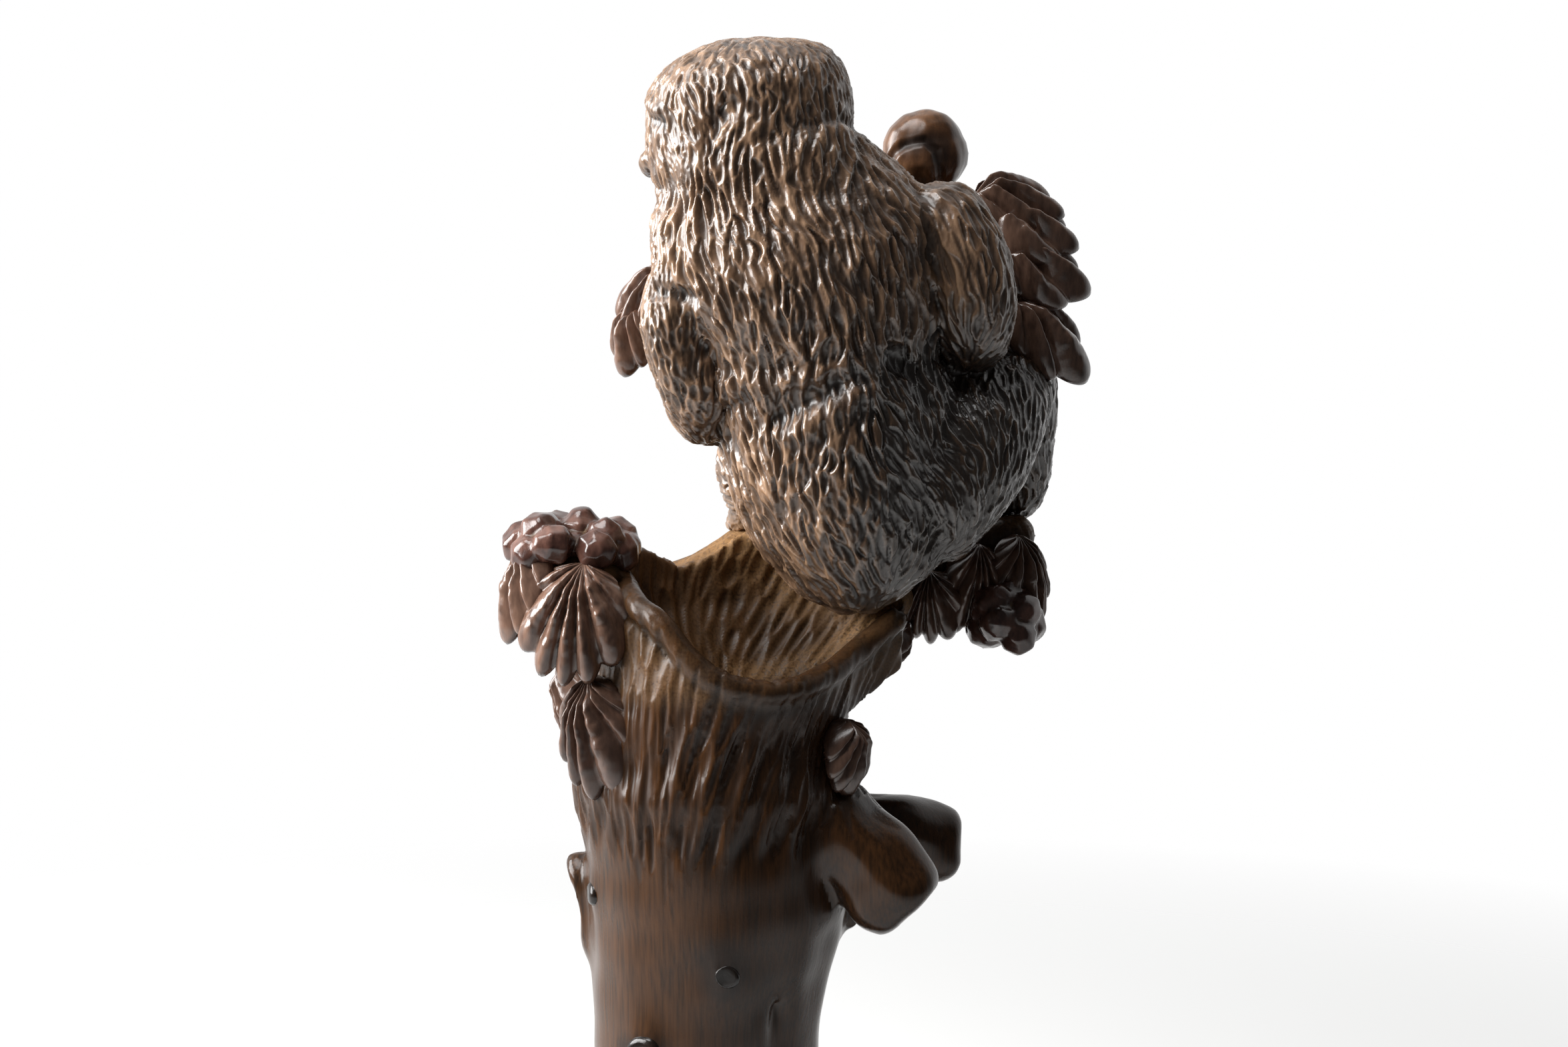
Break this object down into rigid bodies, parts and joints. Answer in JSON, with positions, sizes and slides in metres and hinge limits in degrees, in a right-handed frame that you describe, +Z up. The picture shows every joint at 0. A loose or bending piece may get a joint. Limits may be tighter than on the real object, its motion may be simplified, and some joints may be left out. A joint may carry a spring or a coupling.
{
  "type": "carved wooden monkey figurine",
  "caption": "Carved wooden monkey seated in the hollow fork of a tree trunk, hugging its stem, with carved leaves and fruit; a standing ornament on a flared root foot",
  "frame": {"origin": "middle of the foot's flat underside, on the table", "axes": "+Z up along the trunk, +X to the right in the picture, +Y away from its viewer; the figure's back faces -Y and its head looks towards -X"},
  "size_m": [0.1071, 0.0751, 0.2556],
  "materials": {
    "trunk_wood": "polished natural wood with gouge marks towards the top",
    "figure_wood": "dark stained and waxed, gouged all over as fur",
    "leaf_wood": "reddish dark stain, polished",
    "knot_wood": "near black, polished",
    "dowel_wood": "raw turned hardwood, glued"
  },
  "bodies": {
    "root": {"trunk": "trunk_wood", "upper_stem": "trunk_wood", "right_twig": "trunk_wood", "left_twig": "trunk_wood", "foot_branch": "trunk_wood", "front_stub": "trunk_wood", "rear_stub": "trunk_wood", "small_stub": "trunk_wood", "left_burl": "trunk_wood", "torso": "figure_wood", "rump": "figure_wood", "head": "figure_wood", "right_arm": "figure_wood", "left_arm": "figure_wood", "right_leg": "figure_wood", "left_leg": "figure_wood", "left_spray_upper_leaf": "leaf_wood", "left_spray_lower_leaf": "leaf_wood", "left_spray_outer_leaf": "leaf_wood", "left_spray_tucked_leaf": "leaf_wood", "right_rim_leaf": "leaf_wood", "right_side_leaf": "leaf_wood", "foot_spray_outer_leaf": "leaf_wood", "foot_spray_middle_leaf": "leaf_wood", "foot_spray_inner_leaf": "leaf_wood", "upper_right_fourth_leaf": "leaf_wood", "upper_right_third_leaf": "leaf_wood", "upper_right_second_leaf": "leaf_wood", "upper_right_first_leaf": "leaf_wood", "upper_left_lower_leaf": "leaf_wood", "upper_left_upper_leaf": "leaf_wood", "top_leaf": "leaf_wood", "left_berries": "leaf_wood", "foot_berries": "leaf_wood", "top_fruit": "leaf_wood", "knot_plugs": "knot_wood", "neck_dowel": "dowel_wood", "waist_dowel": "dowel_wood", "seat_dowel": "dowel_wood", "shoulder_dowels": "dowel_wood", "hip_dowels": "dowel_wood"}
  },
  "joints": []
}
